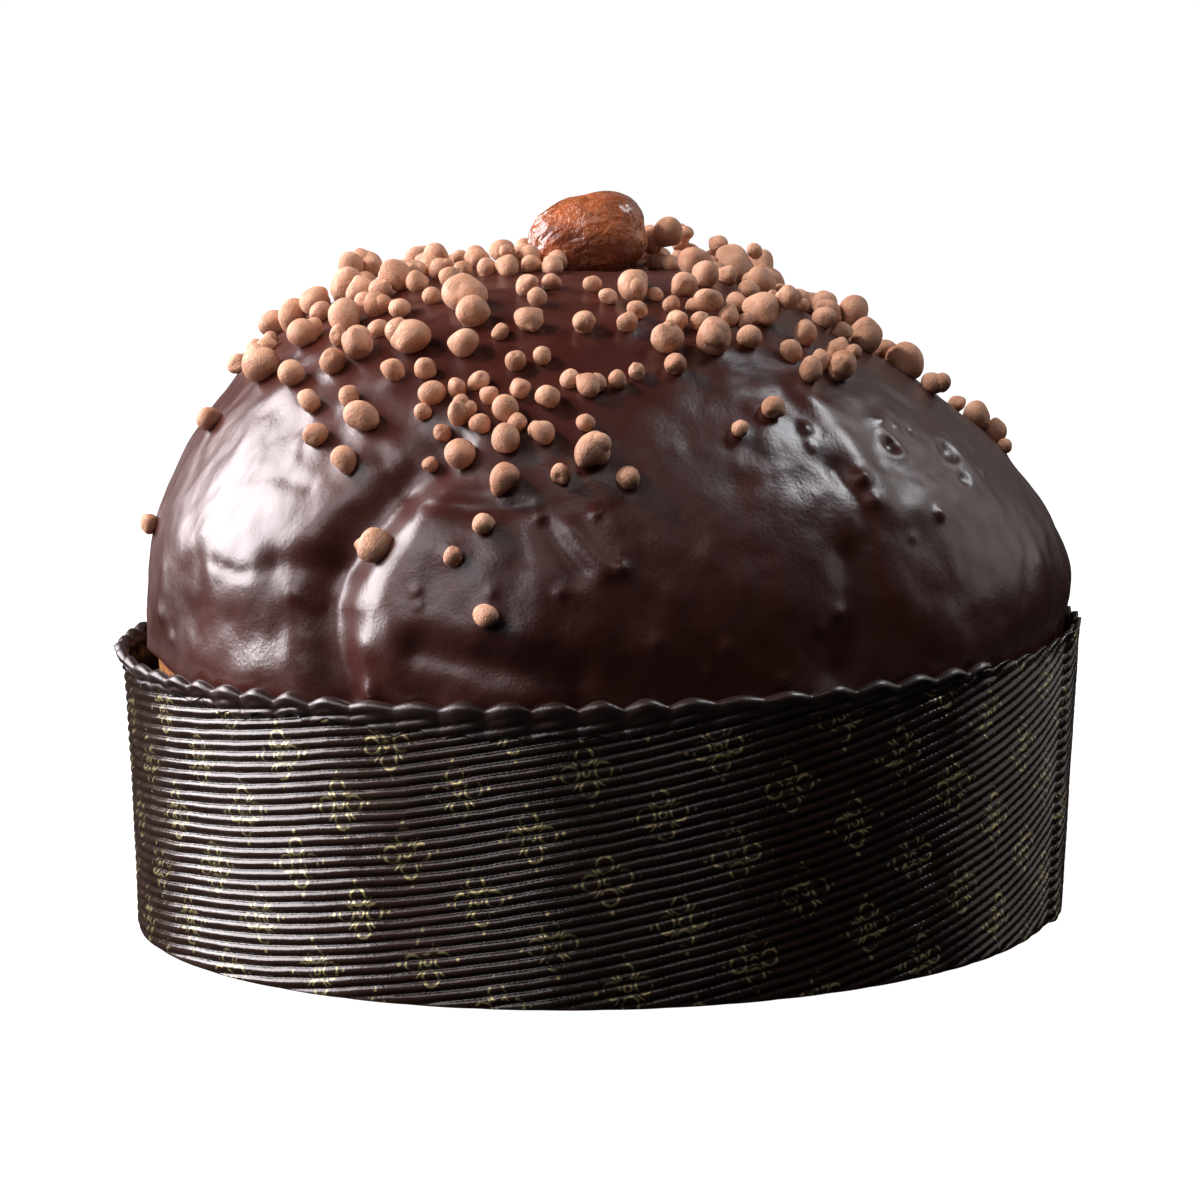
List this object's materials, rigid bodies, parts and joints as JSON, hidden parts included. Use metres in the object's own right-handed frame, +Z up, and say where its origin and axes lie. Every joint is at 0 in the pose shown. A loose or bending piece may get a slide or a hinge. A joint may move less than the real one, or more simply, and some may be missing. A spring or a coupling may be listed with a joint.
{
  "type": "glazed panettone",
  "caption": "Low round panettone in a corrugated paper mould, with a poured chocolate glaze, crunchy pearls over the crown and a candied chestnut on top.",
  "frame": {"origin": "middle of the paper mould's underside, on the surface that the panettone stands on", "axes": "+Z up through the chestnut, -Y towards the front, +X to the right"},
  "size_m": [0.2118, 0.2122, 0.1592],
  "materials": {
    "corrugated_paper": "dark brown corrugated baking paper with a slight sheen and a worn gold blossom print",
    "base_paper": "matte dark brown greaseproof paper",
    "chocolate": null,
    "crust": null,
    "crunch_pearl": null,
    "candied_chestnut": null
  },
  "bodies": {
    "root": {"paper_wall": "corrugated_paper", "paper_base": "base_paper", "rim_glaze": "chocolate", "loaf": "crust", "chocolate_glaze": "chocolate", "candied_chestnut": "candied_chestnut", "crunch_pearl_01": "crunch_pearl", "crunch_pearl_02": "crunch_pearl", "crunch_pearl_03": "crunch_pearl", "crunch_pearl_04": "crunch_pearl", "crunch_pearl_05": "crunch_pearl", "crunch_pearl_06": "crunch_pearl", "crunch_pearl_07": "crunch_pearl", "crunch_pearl_08": "crunch_pearl", "crunch_pearl_09": "crunch_pearl", "crunch_pearl_10": "crunch_pearl", "crunch_pearl_11": "crunch_pearl", "crunch_pearl_12": "crunch_pearl", "crunch_pearl_13": "crunch_pearl", "crunch_pearl_14": "crunch_pearl", "crunch_pearl_15": "crunch_pearl", "crunch_pearl_16": "crunch_pearl", "crunch_pearl_17": "crunch_pearl", "crunch_pearl_18": "crunch_pearl", "crunch_pearl_19": "crunch_pearl", "crunch_pearl_20": "crunch_pearl", "crunch_pearl_21": "crunch_pearl", "crunch_pearl_22": "crunch_pearl", "crunch_pearl_23": "crunch_pearl", "crunch_pearl_24": "crunch_pearl", "crunch_pearl_25": "crunch_pearl", "crunch_pearl_26": "crunch_pearl", "crunch_pearl_27": "crunch_pearl", "crunch_pearl_28": "crunch_pearl", "crunch_pearl_29": "crunch_pearl", "crunch_pearl_30": "crunch_pearl", "crunch_pearl_31": "crunch_pearl", "crunch_pearl_32": "crunch_pearl", "crunch_pearl_33": "crunch_pearl", "crunch_pearl_34": "crunch_pearl", "crunch_pearl_35": "crunch_pearl", "crunch_pearl_36": "crunch_pearl", "crunch_pearl_37": "crunch_pearl", "crunch_pearl_38": "crunch_pearl", "crunch_pearl_39": "crunch_pearl", "crunch_pearl_40": "crunch_pearl", "crunch_pearl_41": "crunch_pearl", "crunch_pearl_42": "crunch_pearl", "crunch_pearl_43": "crunch_pearl", "crunch_pearl_44": "crunch_pearl", "crunch_pearl_45": "crunch_pearl", "crunch_pearl_46": "crunch_pearl", "crunch_pearl_47": "crunch_pearl", "crunch_pearl_48": "crunch_pearl", "crunch_pearl_49": "crunch_pearl", "crunch_pearl_50": "crunch_pearl", "crunch_pearl_51": "crunch_pearl", "crunch_pearl_52": "crunch_pearl", "crunch_pearl_53": "crunch_pearl", "crunch_pearl_54": "crunch_pearl"}
  },
  "joints": []
}
